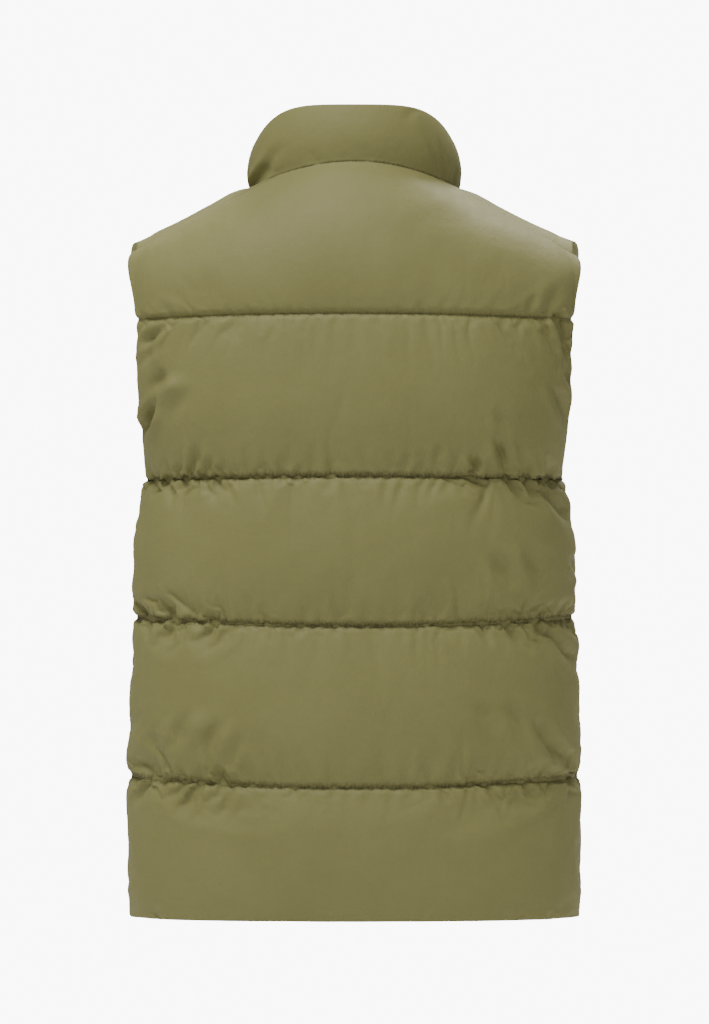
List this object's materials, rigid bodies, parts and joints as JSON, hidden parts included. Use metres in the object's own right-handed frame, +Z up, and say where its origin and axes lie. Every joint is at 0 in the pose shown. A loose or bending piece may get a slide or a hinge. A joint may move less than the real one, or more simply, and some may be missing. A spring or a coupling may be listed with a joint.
{
  "type": "puffer vest",
  "caption": "Sleeveless quilted puffer vest with a stand collar and a front zip, filled out as worn, hollow and open at neck, armholes and hem.",
  "frame": {"origin": "midway between the wearer's shoulders, at the height where the vest rests on them", "axes": "+Z up, the front with the zip faces -Y, the back faces +Y, the wearer's left is +X"},
  "size_m": [0.4268, 0.276, 0.761],
  "materials": {
    "shell_fabric": "olive woven polyester, soft satin",
    "zip_tape": "dark olive woven tape",
    "zip_teeth": "moulded, dark olive",
    "zip_metal": "die cast, satin dark olive-grey paint"
  },
  "bodies": {
    "vest": {"back_panel": "shell_fabric", "front_left": "shell_fabric", "front_right": "shell_fabric", "collar": "shell_fabric", "zip_tape_left": "zip_tape", "zip_tape_right": "zip_tape", "zip_chain": "zip_teeth", "zip_box": "zip_teeth", "zip_top_stop_left": "zip_teeth", "zip_top_stop_right": "zip_teeth", "zip_slider": "zip_metal"},
    "pull_tab": {"pull_tab": "zip_metal"}
  },
  "joints": [
    {"name": "pull_tab_swing", "type": "hinge", "parent": "vest", "child": "pull_tab", "pos_m": [0, -0.0889, 0.0293], "axis": [-1, 0, 0], "range_deg": [0, 170]}
  ]
}
